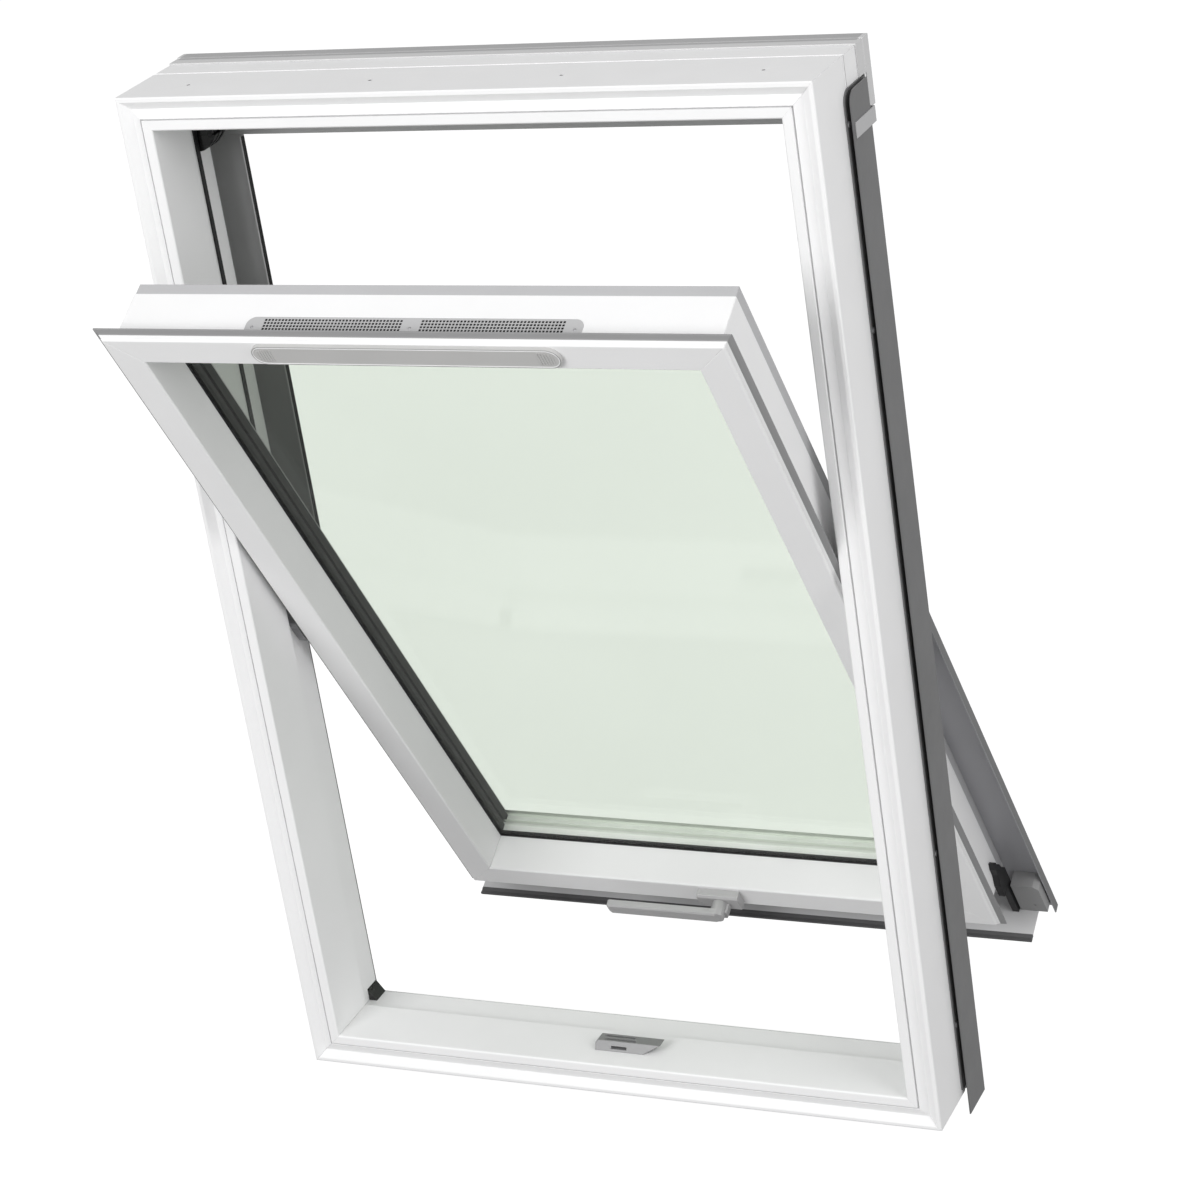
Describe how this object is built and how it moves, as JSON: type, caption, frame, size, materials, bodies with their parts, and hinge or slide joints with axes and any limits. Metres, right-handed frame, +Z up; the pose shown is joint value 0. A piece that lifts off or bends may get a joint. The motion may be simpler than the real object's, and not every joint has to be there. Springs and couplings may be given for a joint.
{
  "type": "roof window",
  "caption": "Centre-pivot roof skylight with a white plastic frame, a glazed sash held open on curved hinge rails, dark weather covers, a vent flap and a bar handle.",
  "frame": {"origin": "middle of the frame's bottom face, half way through the frame's depth", "axes": "+X to the right seen from the room, +Y outwards to the weather side, +Z up along the frame"},
  "size_m": [0.7984, 0.657, 1.2048],
  "materials": {
    "pvc_white": "satin white",
    "light_sheet": "light grey coated",
    "dark_sheet": "dark grey coated",
    "strip_sheet": "mid grey coated",
    "black_rubber": "matte",
    "dark_rubber": "matte",
    "black_foam": "open foam",
    "grey_rubber": "matte",
    "spacer_black": "matte",
    "glass": "clear, slightly green",
    "grey_metal": "satin silver grey",
    "grey_plastic": "matte",
    "vent_plastic": "satin grey",
    "steel": "zinc plated"
  },
  "bodies": {
    "frame": {"frame_head": "pvc_white", "frame_sill": "pvc_white", "frame_jamb_left": "pvc_white", "frame_jamb_right": "pvc_white", "head_trim": "light_sheet", "head_cover": "dark_sheet", "side_channel_left": "dark_sheet", "side_channel_right": "dark_sheet", "upper_cover_left": "dark_sheet", "upper_cover_right": "dark_sheet", "lower_cover_left": "dark_sheet", "lower_cover_right": "dark_sheet", "sill_cover": "dark_sheet", "strap_left": "light_sheet", "strap_right": "light_sheet", "cover_screws": "steel", "jamb_gasket_left": "black_rubber", "jamb_gasket_right": "black_rubber", "head_gasket": "black_rubber", "corner_seal_top_left": "black_rubber", "corner_seal_top_right": "black_rubber", "corner_seal_bottom_left": "black_rubber", "corner_seal_bottom_right": "black_rubber", "keeper": "grey_metal", "hinge_rail_left": "steel", "hinge_rail_right": "steel"},
    "sash": {"sash_top_rail": "pvc_white", "sash_bottom_rail": "pvc_white", "sash_stile_left": "pvc_white", "sash_stile_right": "pvc_white", "sash_gasket_top": "grey_rubber", "sash_gasket_bottom": "grey_rubber", "sash_gasket_left": "grey_rubber", "sash_gasket_right": "grey_rubber", "glazing_cap_top": "strip_sheet", "glazing_cap_bottom": "strip_sheet", "glazing_cap_left": "strip_sheet", "glazing_cap_right": "strip_sheet", "pane_inner": "glass", "pane_middle": "glass", "pane_outer": "glass", "spacer_inner": "spacer_black", "spacer_outer": "spacer_black", "skirt_left": "dark_sheet", "skirt_right": "dark_sheet", "apron": "strip_sheet", "apron_lip": "dark_rubber", "apron_block_left": "grey_plastic", "apron_block_right": "grey_plastic", "closure_left": "black_rubber", "closure_right": "black_rubber", "hinge_arm_left": "steel", "hinge_arm_right": "steel", "vent_grille": "light_sheet", "vent_filter": "black_foam", "grille_screws": "steel", "handle_bracket": "grey_metal"},
    "vent_flap": {"vent_flap": "vent_plastic"},
    "handle": {"handle_lever": "grey_metal"}
  },
  "joints": [
    {"name": "sash_pivot", "type": "hinge", "parent": "frame", "child": "sash", "pos_m": [0, 0.16105, 0.59], "axis": [1, 0, 0], "range_deg": [-30, 15]},
    {"name": "vent_flap_hinge", "type": "hinge", "parent": "sash", "child": "vent_flap", "pos_m": [0, -0.22715, 0.95477], "axis": [1, 0, 0], "range_deg": [0, 30]},
    {"name": "handle_turn", "type": "hinge", "parent": "sash", "child": "handle", "pos_m": [0.002, 0.28835, 0.0619], "axis": [0, 0.866, 0.5], "range_deg": [0, 90]}
  ]
}
